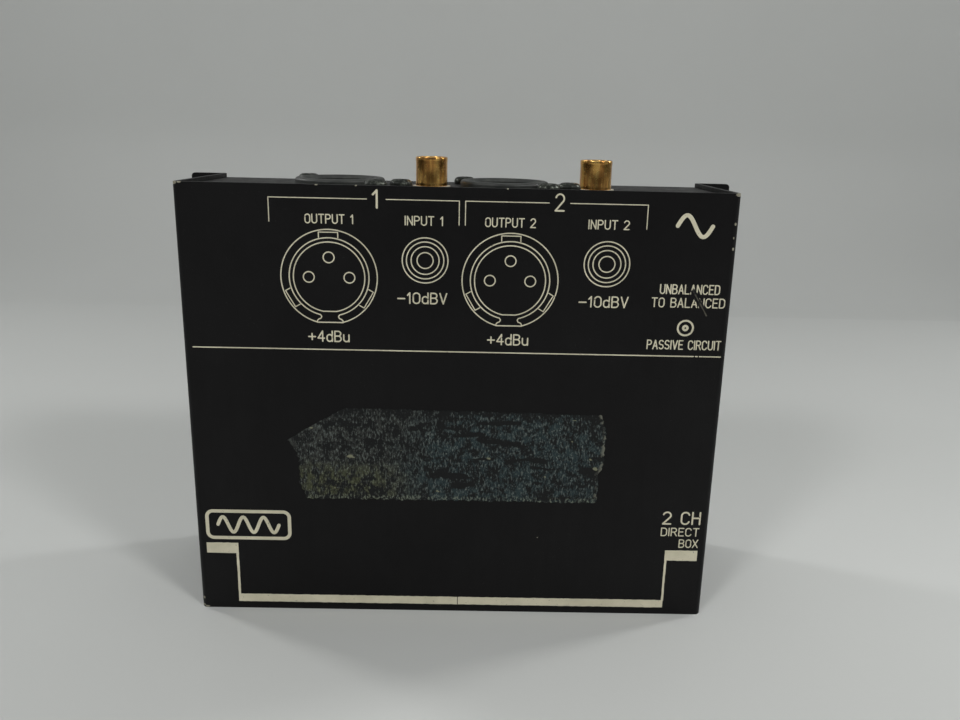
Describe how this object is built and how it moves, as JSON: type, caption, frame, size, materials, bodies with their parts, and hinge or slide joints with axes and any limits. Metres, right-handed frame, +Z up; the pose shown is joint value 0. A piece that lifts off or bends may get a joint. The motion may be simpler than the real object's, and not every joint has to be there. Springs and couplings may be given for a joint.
{
  "type": "direct injection box",
  "caption": "Flat black steel signal box with mounting ears; phono inputs and three-pin balanced outputs on its top edge, step-up transformers inside.",
  "frame": {"origin": "under the middle of the box, on the surface it stands on", "axes": "+Z up towards the connectors, +X to the right of the printed face, +Y towards the mounting plane behind it"},
  "size_m": [0.159, 0.0382, 0.1252],
  "materials": {
    "black_powder_coat": "fine textured satin black powder coat, worn at the corners",
    "black_screw": "black zinc, dulled",
    "zinc_steel": "zinc plated",
    "circuit_board": "glass epoxy with green resist",
    "tinned_wire": "tinned",
    "black_nylon": "satin moulded",
    "silvered_contact": "silver plated",
    "ivory_nylon": "satin moulded",
    "gold_plate": "thin gold plate over brass",
    "nickel_iron_laminations": "stacked sheet, varnished",
    "bobbin_nylon": "satin moulded",
    "coil_tape": "yellow polyester tape",
    "resistor_lacquer": "pale blue lacquer",
    "capacitor_case": "dark red moulded case"
  },
  "bodies": {
    "root": {"cover": "black_powder_coat", "chassis_tray": "black_powder_coat", "cover_screws": "black_screw", "clinch_nuts": "zinc_steel", "board_standoffs": "zinc_steel", "circuit_board": "circuit_board", "board_screws": "zinc_steel", "component_leads": "tinned_wire", "xlr_shell_1": "black_nylon", "xlr_shell_2": "black_nylon", "xlr_insert_1": "black_nylon", "xlr_insert_2": "black_nylon", "xlr_pins_1": "silvered_contact", "xlr_pins_2": "silvered_contact", "xlr_screws_1": "black_screw", "xlr_screws_2": "black_screw", "rca_body_1": "ivory_nylon", "rca_body_2": "ivory_nylon", "rca_shell_1": "gold_plate", "rca_shell_2": "gold_plate", "rca_insulator_1": "black_nylon", "rca_insulator_2": "black_nylon", "rca_contact_1": "gold_plate", "rca_contact_2": "gold_plate", "rca_screw_1": "black_screw", "rca_screw_2": "black_screw", "transformer_core_1": "nickel_iron_laminations", "transformer_core_2": "nickel_iron_laminations", "transformer_bobbin_1": "bobbin_nylon", "transformer_bobbin_2": "bobbin_nylon", "transformer_winding_1": "coil_tape", "transformer_winding_2": "coil_tape", "transformer_pins_1": "tinned_wire", "transformer_pins_2": "tinned_wire", "resistors_1": "resistor_lacquer", "resistors_2": "resistor_lacquer", "capacitor_1": "capacitor_case", "capacitor_2": "capacitor_case"}
  },
  "joints": []
}
